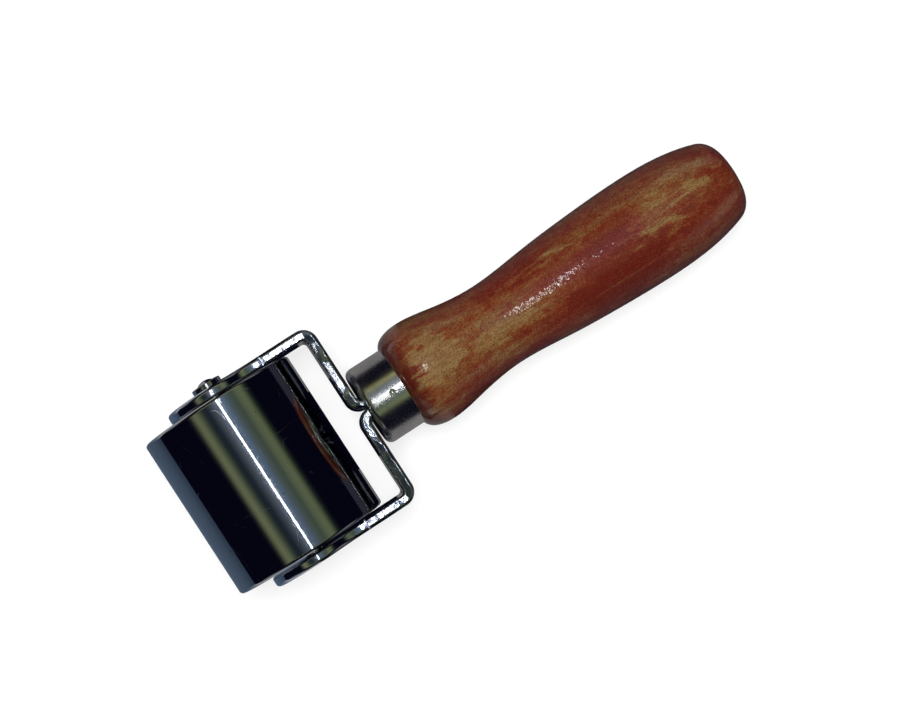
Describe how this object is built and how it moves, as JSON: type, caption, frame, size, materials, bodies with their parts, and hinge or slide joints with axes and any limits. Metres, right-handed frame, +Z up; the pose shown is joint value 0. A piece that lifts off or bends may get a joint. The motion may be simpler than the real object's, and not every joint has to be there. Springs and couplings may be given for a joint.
{
  "type": "seam roller",
  "caption": "Hand seam roller in brayer form: polished steel roller on ball bearings in a bent strip fork, with a plated ferrule and a varnished turned wooden handle.",
  "frame": {"origin": "On the bench, on the line where the roller touches it, under the middle of the roller's width. The tool lies at rest on the roller and on the butt swelling of the handle, so the roller's axle is 24.2 mm above the bench and the handle slopes down towards its butt.", "axes": "+X along the axle from the left arm to the right arm, +Y along the bench from the roller towards the handle, +Z up from the bench."},
  "size_m": [0.0619, 0.1865, 0.0484],
  "materials": {
    "roller_steel": "ground and polished steel, near mirror, with fine handling scratches",
    "bearing_steel": "ground bearing steel",
    "cage_brass": "satin",
    "axle_steel": "turned bright steel",
    "fork_plating": "bright plating over forged strip, slightly uneven",
    "ferrule_plating": "bright nickel plating on drawn sheet",
    "varnished_wood": "turned hardwood, reddish brown stain under clear gloss varnish"
  },
  "bodies": {
    "frame": {"handle": "varnished_wood", "ferrule": "ferrule_plating", "left_fork_arm": "fork_plating", "right_fork_arm": "fork_plating", "tang_rivets": "axle_steel", "axle_pin": "axle_steel", "axle_collar": "axle_steel", "left_thrust_washer": "axle_steel", "right_thrust_washer": "axle_steel", "bearing_spacer": "axle_steel", "left_bearing_inner_ring": "bearing_steel", "right_bearing_inner_ring": "bearing_steel"},
    "roller": {"roller_shell": "roller_steel", "left_bearing_outer_ring": "bearing_steel", "left_bearing_outer_shield": "bearing_steel", "left_bearing_inner_shield": "bearing_steel", "right_bearing_outer_ring": "bearing_steel", "right_bearing_outer_shield": "bearing_steel", "right_bearing_inner_shield": "bearing_steel"},
    "left_cage": {"left_bearing_cage": "cage_brass", "left_bearing_balls": "bearing_steel"},
    "right_cage": {"right_bearing_cage": "cage_brass", "right_bearing_balls": "bearing_steel"}
  },
  "joints": [
    {"name": "roller_spin", "type": "hinge", "parent": "frame", "child": "roller", "pos_m": [0, 0, 0.0242], "axis": [1, 0, 0], "continuous": true},
    {"name": "left_cage_orbit", "type": "hinge", "parent": "frame", "child": "left_cage", "pos_m": [-0.022, 0, 0.0242], "axis": [1, 0, 0], "continuous": true},
    {"name": "right_cage_orbit", "type": "hinge", "parent": "frame", "child": "right_cage", "pos_m": [0.0216, 0, 0.0242], "axis": [1, 0, 0], "continuous": true}
  ],
  "couplings": [
    {"joint": "left_cage_orbit", "follows": "roller_spin", "ratio": 0.64},
    {"joint": "right_cage_orbit", "follows": "roller_spin", "ratio": 0.64}
  ]
}
